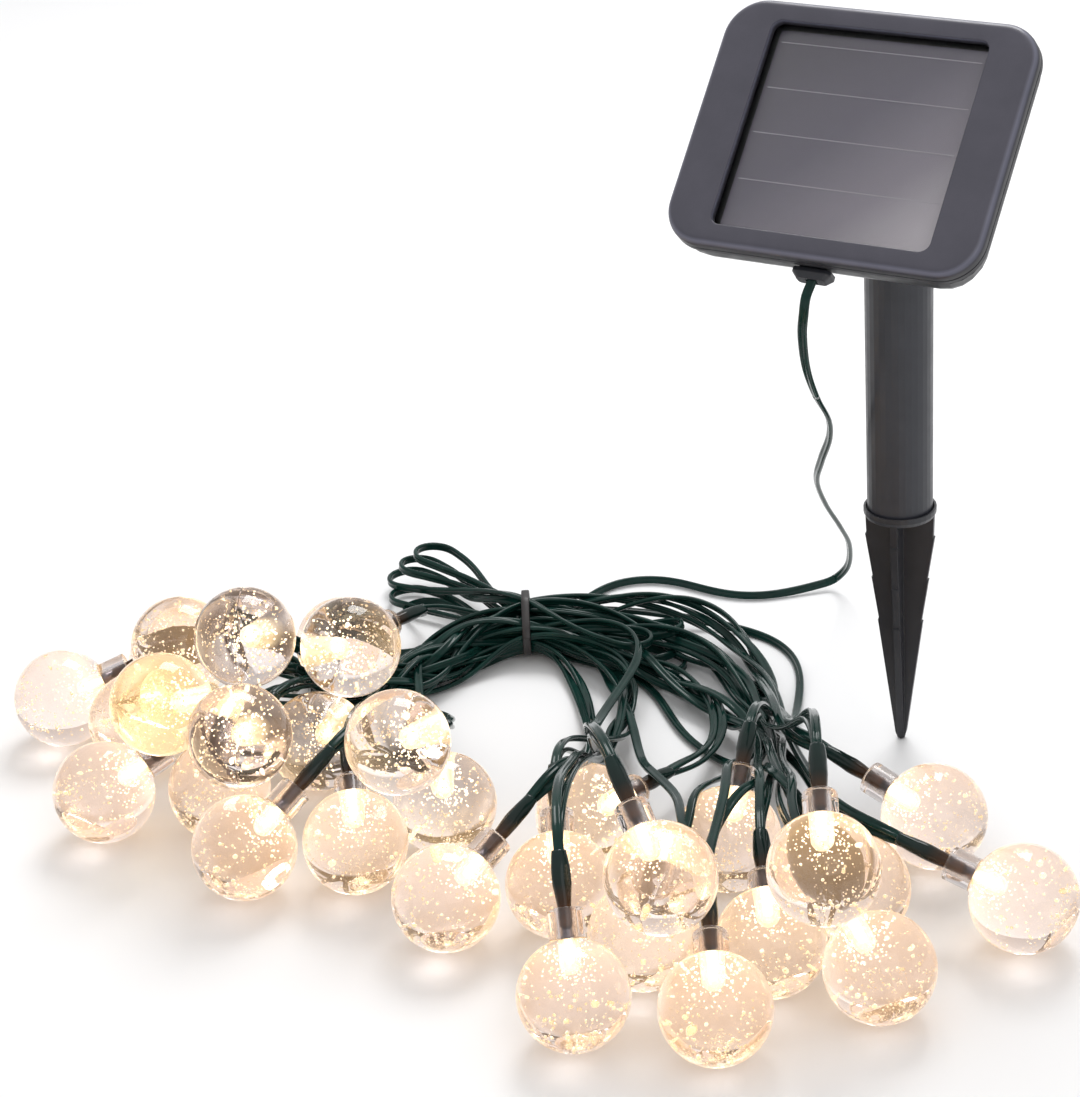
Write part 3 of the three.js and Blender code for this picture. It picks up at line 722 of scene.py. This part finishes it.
def bore_roughness(tree):
    """Matt inside the bore for the LED, and polished elsewhere."""
    flat = vectors(tree, "MULTIPLY", object_space(tree), (1, 1, 0))["Vector"]
    off_axis = vectors(tree, "LENGTH", flat)["Value"]
    matt = stretched(tree, off_axis, BORE_RADIUS + 0.0006, BORE_RADIUS + 0.0002, to_high=0.34)
    return maths(tree, "MULTIPLY", matt, stretched(tree, axis(tree, "Z"), 0.002, 0.003))


def clear_globe(name, tint, glow):
    """Cast clear acrylic, which glows round its LED: a little uneven, with a mould line."""
    made, tree, shader = material(name, tint, 0.0, Transmission_Weight=1.0, IOR=1.46)
    away = from_led(tree, GLOW_NEAR, GLOW_FAR)
    in_ball = stretched(tree, axis(tree, "Z"), 0.0135, 0.01, to_high=glow)
    feed(shader, Emission_Color=ramp(tree, away, GLOW_COLOURS),
         Emission_Strength=maths(tree, "MULTIPLY", ramp(tree, away, GLOW_LEVELS), in_ball),
         Roughness=bore_roughness(tree))
    ridge = ramp(tree, stretched(tree, axis(tree, "X"), -0.0008, 0.0008),
                 [(0.3, 0), (0.5, 0.2), (0.7, 0)])
    grain(tree, shader, maths(tree, "ADD", noise(tree, 230, 2), ridge), 0.00005)
    return made


def bubble_air():
    """Air bubbles in the acrylic, which catch the LED's light."""
    made, tree, shader = material("bubbles", (0.9, 0.76, 0.56), 0.0, Transmission_Weight=1.0, IOR=0.7)
    away = from_led(tree, 0.003, 0.024)
    feed(shader, Emission_Color=ramp(tree, away, BUBBLE_COLOURS),
         Emission_Strength=maths(tree, "MULTIPLY", ramp(tree, away, BUBBLE_LEVELS), 1.9))
    return made


def led_light():
    """The glowing dome of the LED, hottest at its tip."""
    made, tree, shader = material("led_light", (1, 0.9, 0.7), 0.3, Emission_Strength=3.2)
    away = from_led(tree, 0.0015, 0.005)
    feed(shader, Emission_Color=ramp(tree, away, [(0, (1, 0.93, 0.78)), (1, (1, 0.78, 0.46))]))
    return made


def solar_face():
    """Dark amorphous cell behind the window, with a painted reflection that makes it paler towards its
    lower right corner.
    """
    made, tree, shader = material("solar_face", (0.1, 0.09, 0.12), 0.4, Coat_Weight=0.6,
                                  Coat_Roughness=0.15)
    low, high = (np.array(p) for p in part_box("solar_cell"))
    size = high - low
    from_low = vectors(tree, "SUBTRACT", object_space(tree), tuple(low))["Vector"]
    slant = vectors(tree, "DOT_PRODUCT", from_low, (0.5 / size[0], 0, -0.5 / size[2]))["Value"]
    # painted reflection: paler along the diagonal towards the cell's lower right corner
    feed(shader, Base_Color=ramp(tree, stretched(tree, slant, -0.5, 0.5), CELL_COLOURS_AND_REFLECTION),
         Roughness=between(tree, noise(tree, 90, 2), 0.36, 0.44))
    return made


def window_clear():
    """The thin clear window over the cell."""
    made, tree, shader = material("thin_window", (1, 1, 1), 0.03, Transmission_Weight=1.0, IOR=1.35)
    feed(shader, Roughness=between(tree, noise(tree, 60, 2), 0.02, 0.045))
    return made


# colours and levels along the ramps of the materials
PAINTED_LIGHT_DEPTH = 0.0036  # the front frame's painted highlight and painted shade reach this far behind its face
# painted light on the front frame: a painted highlight along its rolled edge, then painted shade down
# its sides
FRAME_PAINTED_LIGHT = [(0.0, 1), (0.04, 1), (0.16, (2.1, 2.2, 2.2)), (0.3, (1.7, 1.8, 1.8)),
                (0.48, (0.5, 0.5, 0.52)), (0.7, (0.22, 0.22, 0.23))]
SHEATH_GREENS = [(0.3, (0.0028, 0.019, 0.0155)), (0.7, (0.0062, 0.034, 0.027))]
SHRINK_COLOURS = [(0.0, (0.17, 0.07, 0.022)), (0.3, (0.045, 0.02, 0.009)),
                  (0.55, (0.007, 0.014, 0.012)), (1.0, (0.005, 0.02, 0.017))]
GLOW_NEAR, GLOW_FAR = 0.0015, 0.0265
GLOW_COLOURS = [(0.0, (1, 0.72, 0.34)), (0.14, (1, 0.74, 0.38)), (0.26, (1, 0.72, 0.36)),
                (0.38, (1, 0.63, 0.27)), (0.52, (1, 0.58, 0.26)), (1.0, (1, 0.6, 0.4))]
GLOW_LEVELS = [(0.0, 0.3), (0.14, 0.36), (0.26, 0.32), (0.36, 0.17), (0.47, 0.09),
               (0.62, 0.045), (0.82, 0.022), (1, 0.016)]
BUBBLE_COLOURS = [(0.0, (1, 0.88, 0.62)), (0.4, (1, 0.78, 0.42)), (1.0, (1, 0.82, 0.58))]
BUBBLE_LEVELS = [(0.0, 1), (0.2, 0.5), (0.55, 0.15), (1, 0.08)]
# the cell's dark colour, and a painted reflection towards its lower right corner
CELL_COLOURS_AND_REFLECTION = [(0.0, (0.06, 0.052, 0.078)), (0.45, (0.1, 0.088, 0.13)),
                (0.72, (0.24, 0.215, 0.262)), (1.0, (0.62, 0.58, 0.62))]


# ---- the cables

def finish_cord(piece, path, **facts):
    """Material of a stretch of the cable."""
    piece.data.materials.append(SHEATH)


def lay_strands():
    """The strands, each from one lamp's sleeve to the next one's."""
    for strand in strands[:-1]:
        line = smooth_line(strand.points, SURFACE_STEP)
        sides, tangent = frames(line, *(level_side(lamp) for lamp, _ in strand.ends))
        piece = swept(strand.name, line, sides, tangent)
        finish_cord(piece, line, lay="loose")
        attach(piece, STRING)
        if strand is strands[0]:
            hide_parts("branch_left", "branch_front", "branch_right")


def lay_lead():
    """The lead: down from the gland to the floor, into the hank and on to its lamp."""
    out_of_gland = 2.2 * np.array(LEAD_DROP[0]) - 1.2 * np.array(LEAD_DROP[1])
    line = smooth_line([out_of_gland] + LEAD_DROP + list(strands[-1].points), SURFACE_STEP)
    sides, tangent = frames(line, np.array((1.0, 0, 0)), level_side(strands[-1].ends[0][0]))
    post_end, floor_start = (int(lengths(line - np.array(LEAD_DROP[k])).argmin()) for k in (5, -1))
    stretches = {"lead_upper": (0, post_end), "lead_lower": (post_end, floor_start),
                 "lead_in_hank": (floor_start, len(line) - 1)}
    made = {}
    for name, (begin, end) in stretches.items():
        part = slice(begin, end + 1)
        made[name] = swept(name, line[part], sides[part], tangent[part])
        finish_cord(made[name], line[part], lay="loose" if name == "lead_in_hank" else "hanging")
    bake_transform(made["lead_upper"])
    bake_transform(made["lead_lower"])
    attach(made["lead_in_hank"], STRING)
    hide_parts("lead_drop")
    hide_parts("lead_on_floor", "hank")


TIE_GAP = 0.0008  # between the strands and the tie's inside
TIE_WIDTH, TIE_THICKNESS = 0.0026, 0.0011


def tie_rim():
    """The tie's inside, drawn tight round the strands: across and up from its middle."""
    out = np.vstack([s.points for s in strands]) - TIE
    here = out[(np.abs(out @ ALONG) < 0.0035) & (np.abs(out @ ACROSS) < 1.3 * TIE_HALF_WIDTH)]
    flat = np.stack([here @ ACROSS, here[:, 2]], axis=1)
    turns = np.radians(np.arange(0, 360, 5))
    rays = np.stack([np.cos(turns), np.sin(turns)], axis=1)
    support = (flat @ rays.T).max(0) + TIE_GAP
    support = np.minimum(support, 1.5 * np.median(support))
    rim = np.linalg.solve(np.stack([rays, np.roll(rays, -1, 0)], 1),
                          np.stack([support, np.roll(support, -1)], 1)[..., None])[..., 0]
    for _ in range(3):
        rim = 0.5 * rim + 0.25 * (np.roll(rim, 1, 0) + np.roll(rim, -1, 0))
    return rim


def tie_band():
    """The tie's band, with its rounded section carried round the rim."""
    rim = tie_rim()
    outward = rim - rim.mean(0)
    outward /= lengths(outward)[:, None]
    section = [(TIE_WIDTH / 2 * abs(math.cos(a)) ** 0.4 * np.sign(math.cos(a)),
                TIE_THICKNESS / 2 * abs(math.sin(a)) ** 0.6 * np.sign(math.sin(a)))
               for a in np.radians(np.arange(0, 360, 30))]
    rings = []
    for p, o in zip(rim, outward):
        for wide, thick in section:
            side, up = p + o * (thick + TIE_THICKNESS / 2)
            rings.append(TIE + ALONG * wide + ACROSS * side + np.array((0, 0, up)))
    mesh = mesh_of("tie_band", rings, ring_faces(len(rim), len(section), closed=True))
    outward_faces(mesh)
    band = placed("tie_band", mesh)
    band.data.materials.append(moulded("tie_plastic", (0.008, 0.006, 0.006),
                                       (0.016, 0.012, 0.011), 0.38, 0))
    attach(band, STRING)
    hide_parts("cable_tie")


SHEATH = cable_sheath()
lay_strands()
lay_lead()
tie_band()


# ---- the lamps
# A lamp is made with its globe's centre at the origin and its neck along +Z, and then placed.
BUBBLES, HAZE = 400, 240


def lathe(name, profile, around, squeeze=None):
    """A closed body turned about Z; its profile starts and ends on the axis."""
    profile = np.array(profile, float)
    turn = np.arange(around) * 2 * math.pi / around
    inner = profile[1:-1]
    rings = np.stack([inner[:, :1] * np.cos(turn), inner[:, :1] * np.sin(turn),
                      np.repeat(inner[:, 1:], around, axis=1)], axis=2)
    if squeeze:
        rings = squeeze(rings)
    points = np.vstack([[(0, 0, profile[0, 1])], rings.reshape(-1, 3), [(0, 0, profile[-1, 1])]])
    last = len(points) - 1
    faces = [(0, 1 + (i + 1) % around, 1 + i) for i in range(around)]
    faces += [tuple(1 + corner for corner in face) for face in ring_faces(len(inner), around)]
    faces += [(last, last - around + i, last - around + (i + 1) % around) for i in range(around)]
    mesh = mesh_of(name, points, faces)
    outward_faces(mesh)
    return mesh


def arc(centre, radius, start, end, steps):
    """Points of an arc, from one angle in degrees to another."""
    return [(centre[0] + radius * math.cos(a), centre[1] + radius * math.sin(a))
            for a in np.radians(np.linspace(start, end, steps))]


def globe_mesh():
    """The cast globe with its neck, bored from the neck for the LED."""
    fillet = 0.0008
    reach_out = GLOBE_RADIUS + fillet
    fillet_x = COLLAR_RADIUS + fillet
    fillet_z = math.sqrt(reach_out ** 2 - fillet_x ** 2)
    meet = math.degrees(math.atan2(fillet_z, fillet_x))
    lip = 0.00035
    profile = [(0, -GLOBE_RADIUS)] + arc((0, 0), GLOBE_RADIUS, -88, meet, 60)
    profile += arc((fillet_x, fillet_z), fillet, 180 + meet, 180, 6)[1:]
    profile += [(COLLAR_RADIUS, z) for z in np.linspace(0.0165, 0.0215, 5)]
    profile += arc((COLLAR_RADIUS - lip, COLLAR_REACH - lip), lip, 0, 90, 4)
    profile += arc((BORE_RADIUS + lip, COLLAR_REACH - lip), lip, 90, 180, 4)
    profile += [(BORE_RADIUS, z) for z in np.linspace(0.0205, 0.0065, 12)]
    profile += arc((0, BORE_END + BORE_RADIUS), BORE_RADIUS, 0, -86, 10)
    return lathe("globe_glass", profile + [(0, BORE_END)], 72)


def led_mesh():
    """The LED: a domed lens with a flange."""
    profile = [(0, LED_TIP)] + arc((0, LED_TIP + LED_RADIUS), LED_RADIUS, -80, 0, 8)
    profile += [(LED_RADIUS, z) for z in np.linspace(LED_TIP + LED_RADIUS, LED_BASE, 5)[1:]]
    profile += [(LED_RADIUS + 0.0003, LED_BASE + 0.0001),
                (LED_RADIUS + 0.0003, LED_BASE + 0.0009), (0, LED_BASE + 0.0009)]
    return lathe("led", profile, 24)


def holder_mesh():
    """The plug that holds the LED in the neck, with a stepped rim."""
    foot = LED_BASE + 0.001
    profile = [(0, foot), (0.0015, foot), (0.00175, foot + 0.0003), (0.00175, foot + 0.0026),
               (0.0014, foot + 0.0028), (0.0014, SLEEVE_START + 0.003), (0, SLEEVE_START + 0.003)]
    return lathe("holder", profile, 32)


def sleeve_mesh(number):
    """The shrunk tube behind the neck, drawn in over the two strands at its end."""
    heights = np.linspace(SLEEVE_START, SLEEVE_END, 34)
    wide = np.interp(heights, (SLEEVE_START, 0.0225, 0.025, 0.029, 0.0335, 0.0365, SLEEVE_END),
                     (0.0017, 0.0018, 0.0021, 0.0024, 0.0023, 0.002, 0.0018))
    profile = [(0, heights[0])] + list(zip(wide, heights)) + [(0, heights[-1])]
    wave = np.random.RandomState(number)
    bends = [(wave.uniform(0, 6.28), wave.uniform(250, 700), wave.randint(2, 4)) for _ in range(3)]

    def squeeze(rings):
        far = np.clip((rings[..., 2] - 0.0235) / 0.012, 0, 1)
        turn = np.arctan2(rings[..., 1], rings[..., 0])
        swell = 1 + 0.35 * far * 0.12 * np.cos(4 * turn)
        for phase, rate, lobes in bends:
            swell += 0.022 * np.sin(lobes * turn + phase) * np.sin(rate * rings[..., 2] + phase)
        rings[..., 0] *= swell * (1 + 0.06 * far)
        rings[..., 1] *= swell * (1 - 0.1 * far)
        return rings

    return lathe("sleeve", profile, 28, squeeze)


def bubble_places(dice):
    """Where a globe's bubbles are, and their sizes: most under its skin and away from its
    neck, some in clusters, and a haze of the smallest ones round the LED."""
    clusters = dice.normal(size=(8, 3))
    clusters[:, 2] -= 0.9
    clusters /= lengths(clusters)[:, None]
    found = []
    while len(found) < BUBBLES:
        way = dice.normal(size=3)
        if dice.rand() < 0.4:
            way = clusters[dice.randint(len(clusters))] * 2.6 + way * 0.55
        way /= np.linalg.norm(way)
        if dice.rand() > 0.6 - 0.4 * way[2]:
            continue
        size = min(0.0005, 0.00011 * math.exp(0.62 * abs(dice.normal())) + 0.00002)
        depth = GLOBE_RADIUS * (1 - 0.5 * dice.rand() ** 2) - size - 0.0003
        found.append((way * depth, size))
    while len(found) < BUBBLES + HAZE:
        place = np.array((0, 0, LED_MIDDLE - 0.001)) + dice.normal(size=3) * 0.0027
        if np.linalg.norm(place) < GLOBE_RADIUS - 0.0008:
            found.append((place, 0.00009 + 0.00012 * dice.rand()))
    return [(place, size) for place, size in found
            if math.hypot(place[0], place[1]) > BORE_RADIUS + 0.0002 + size
            or place[2] < BORE_END - size - 0.0002]


def bubbles_mesh(number):
    """The bubbles of one globe."""
    ball = bmesh.new()
    bmesh.ops.create_icosphere(ball, subdivisions=2, radius=1)
    ball_points = np.array([v.co for v in ball.verts])
    ball_faces = np.array([[v.index for v in f.verts] for f in ball.faces])
    ball.free()
    found = bubble_places(np.random.RandomState(100 + number))
    centres = np.array([place for place, _ in found])
    sizes = np.array([size for _, size in found])
    points = centres[:, None] + sizes[:, None, None] * ball_points
    starts = np.arange(len(found))[:, None, None] * len(ball_points)
    return mesh_of("bubbles", points, (starts + ball_faces).reshape(-1, 3).tolist())


def place_lamps():
    """Each lamp's globe, bubbles, LED, holder and sleeve, in its CAD globe's place."""
    shapes = {"glass": globe_mesh(), "led": led_mesh(), "holder": holder_mesh()}
    looks = {"led": led_light(), "bubbles": bubble_air(), "sleeve": heat_shrink(),
             "holder": metal("holder_foil", (0.3, 0.28, 0.31), 0.24, 0)}
    clear = clear_globe("clear_acrylic", (0.79, 0.735, 0.72), 2.6)
    milky = clear_globe("milky_acrylic", (0.86, 0.74, 0.52), 3.6)
    for number, name in enumerate(LAMPS, 1):
        centre, neck = PLACES[name]
        upright = Vector(neck)
        sideways = Vector(np.cross(neck, (0, 0, 1))).normalized()
        turned = Matrix((sideways, upright.cross(sideways), upright)).transposed().to_4x4()
        own = {**shapes, "bubbles": bubbles_mesh(number), "sleeve": sleeve_mesh(number)}
        for part, mesh in own.items():
            piece = placed(f"{name}_{part}", mesh)
            piece.matrix_world = Matrix.Translation(Vector(centre)) @ turned
            look = looks.get(part, milky if name == MILKY_LAMP else clear)
            if part == "glass":
                piece.data = mesh.copy()
                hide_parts(name)
            if not piece.data.materials:
                piece.data.materials.append(look)
            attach(piece, STRING)


place_lamps()


# ---- the head, post and spike

def rounded_ring(width, height, radius):
    """A rectangle's outline with round corners."""
    ring = []
    for quarter, (sx, sy) in enumerate(((1, 1), (-1, 1), (-1, -1), (1, -1))):
        for turn in np.linspace(quarter, quarter + 1, 15) * math.pi / 2:
            ring.append((sx * (width / 2 - radius) + radius * math.cos(turn),
                         sy * (height / 2 - radius) + radius * math.sin(turn)))
    return ring


def outline(size, height, inset=0.0):
    """A height over the face, and a rounded rectangle at it, drawn in by the inset."""
    wide, tall, corner = size
    return height, rounded_ring(wide - 2 * inset, tall - 2 * inset, corner - inset)


def head_place():
    """The middle of the head's face, and its ways across, up the panel and outward."""
    points = corners_of("front_frame")
    across, up = np.array((1.0, 0, 0)), np.array(PANEL_UP)
    out = np.cross(across, up)
    middle = sum(way * ((points @ way).max() + (points @ way).min()) / 2 for way in (across, up))
    return middle + out * (points @ out).max(), across, up, out


def cell_lines():
    """The four thin silver bus lines across the cell, each a flat bar."""
    _, _, up, out = head_place()
    low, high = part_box("solar_cell")
    cell = corners_of("solar_cell")
    top, front = (cell @ up).max(), (cell @ out).max()
    left, right = (np.array((x, 0, 0)) for x in (low[0] + LINE_INSET, high[0] - LINE_INSET))
    points, faces = [], []
    for below in LINES_BELOW:
        base = up * (top - below) + out * (front + LINE_THICKNESS)
        start, half = len(points), up * LINE_HALF
        ring = [left + base + half, left + base - half, right + base - half, right + base + half]
        points += ring + [p + out * LINE_THICKNESS for p in ring]
        faces += [tuple(start + i for i in face) for face in BAR_FACES]
    mesh = mesh_of("cell_lines", points, faces, smooth=False)
    outward_faces(mesh)
    lines = placed("cell_lines", mesh)
    lines.data.materials.append(metal("silver_line", (0.4, 0.38, 0.42), 0.45, 0))
    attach(lines, "head")


LINES_BELOW = (0.0036, 0.0175, 0.0312, 0.0454)  # from the cell's top edge
LINE_INSET, LINE_HALF, LINE_THICKNESS = 0.0012, 0.00012, 0.00004
BAR_FACES = [(0, 1, 2, 3), (7, 6, 5, 4), (0, 4, 5, 1), (1, 5, 6, 2), (2, 6, 7, 3), (3, 7, 4, 0)]


def ring_piece(name, rings):
    """A closed ring-shaped body through outlines, each at a height over the face."""
    middle, across, up, out = head_place()
    points = [middle + across * x + up * y + out * height
              for height, outline in rings for x, y in outline]
    mesh = mesh_of(name, points, ring_faces(len(rings), len(rings[0][1]), closed=True))
    outward_faces(mesh)
    mesh.set_sharp_from_angle(angle=math.radians(50))
    made = placed(name, mesh)
    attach(made, "head")
    return made


def frame_skin():
    """The front frame, its face rolled over the edges, with a parting groove round it."""
    roll = [outline(RIM, FACE_EDGE * (math.sin(a) - 1), FACE_EDGE * (1 - math.cos(a)))
            for a in np.radians(np.linspace(0, 90, 9))]
    lip = [outline(OPENING, LIP * (math.cos(a) - 1), LIP * (math.sin(a) - 1))
           for a in np.radians(np.linspace(0, 90, 5))]
    groove = [outline(RIM, -0.0042), outline(RIM, -0.0041, GROOVE), outline(RIM, -0.0038, GROOVE),
              outline(RIM, -0.0037)]
    rings = [outline(RIM, -FRAME_DEPTH), *groove, *roll, *lip, outline(OPENING, -WINDOW_RECESS),
             outline(WINDOW, -WINDOW_RECESS), outline(WINDOW, -FRAME_DEPTH)]
    made = ring_piece("frame_skin", rings)
    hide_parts("front_frame")
    return made


def cell_border():
    """The black edge of the cell's board, round its active face."""
    middle, across, up, out = head_place()
    points = corners_of("solar_cell")
    front = (points @ out).max() - middle @ out
    board = rounded_ring(WINDOW[0] - 0.001, WINDOW[1] - 0.001, 0.002)
    face = rounded_ring(*(np.ptp(points @ way) + 0.0001 for way in (across, up)), 0.0004)
    rings = [(front - 0.0009, board), (front - 0.0003, board), (front - 0.0003, face),
             (front - 0.0009, face)]
    made = ring_piece("cell_border", rings)
    return made


def smooth_shading():
    """Shades the CAD nodes' round walls as round."""
    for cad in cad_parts.values():
        mesh = cad.data
        mesh.polygons.foreach_set("use_smooth", [True] * len(mesh.polygons))
        mesh.set_sharp_from_angle(angle=math.radians(32))


def dress(look, *names):
    """Gives CAD nodes their material."""
    for name in names:
        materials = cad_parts[name].data.materials
        materials.clear()
        materials.append(look)


# Dark plastic, made darker than the front frame: painted shade where the rear housing shows on the
# head's sides.
dress(moulded("housing_dark", (0.01, 0.011, 0.014), (0.017, 0.018, 0.023), 0.36),
      "rear_housing", "battery_cover", "post_bracket", "tilt_knob", "switch_button")
dress(moulded("post_plastic", (0.022, 0.024, 0.031), (0.029, 0.031, 0.04), 0.36), "stake_tube")
dress(moulded("spike_black", (0.012, 0.013, 0.017), (0.019, 0.02, 0.026), 0.36),
      "ground_spike", "cable_gland")
dress(moulded("rubber", (0.01, 0.01, 0.011), (0.018, 0.018, 0.02), 0.7), "housing_seal", "cover_seal")
dress(moulded("board_green", (0.01, 0.09, 0.035), (0.015, 0.14, 0.05), 0.4), "circuit_board")
dress(moulded("battery_sleeve", (0.02, 0.12, 0.05), (0.03, 0.2, 0.08), 0.3), "battery_cell")
dress(metal("plated_steel", (0.55, 0.55, 0.56), 0.3), "contact_plate", "contact_spring",
      "tilt_bolt", *[f"housing_screw_{i}" for i in range(1, 5)])
dress(solar_face(), "solar_cell")
dress(window_clear(), "panel_window")
cell_lines()
frame_skin().data.materials.append(frame_satin())
cell_border().data.materials.append(moulded("cell_black", (0.004, 0.004, 0.005),
                                            (0.008, 0.008, 0.009), 0.35, 0))
smooth_shading()


# ---- floor and light

def studio():
    """A pale floor under soft light from above and behind."""
    half, low = 4.0, CAD_BOX[0][2] - 0.0002
    corners = [(x * half, y * half, low) for x, y in ((-1, -1), (1, -1), (1, 1), (-1, 1))]
    floor = placed("floor", mesh_of("floor", corners, [(0, 1, 2, 3)], smooth=False))
    look, tree, shader = material("floor", (0.86, 0.86, 0.865), 0.6, Specular_IOR_Level=0.2)
    feed(shader, Roughness=between(tree, noise(tree, 8), 0.55, 0.65))
    floor.data.materials.append(look)
    world = bpy.data.worlds.new("studio")
    world.use_nodes = True
    tree = world.node_tree
    way = node(tree, "TexCoord", {}).outputs["Generated"]
    sky = ramp(tree, axis(tree, "Z", way), [(0.0, (0.62, 0.62, 0.63)),
                                             (0.35, (0.8, 0.8, 0.805)), (1.0, 1)])
    feed(tree.nodes["Background"], Color=sky, Strength=0.92)
    bpy.context.scene.world = world
    for name, place, power, size in (("key", (-0.25, 0.55, 0.95), 6.5, 0.5),
                                     ("fill", (0.75, -0.7, 0.75), 2.0, 0.8)):
        data = bpy.data.lights.new(name, "AREA")
        data.energy = power
        data.size = size
        lamp = placed(name, data)
        lamp.location = place
        aim = Vector((-0.06, -0.02, 0.03)) - Vector(place)
        lamp.rotation_euler = aim.to_track_quat("-Z", "Y").to_euler()
    view = bpy.context.scene.view_settings
    view.view_transform = "Standard"
    view.look = "None"


studio()
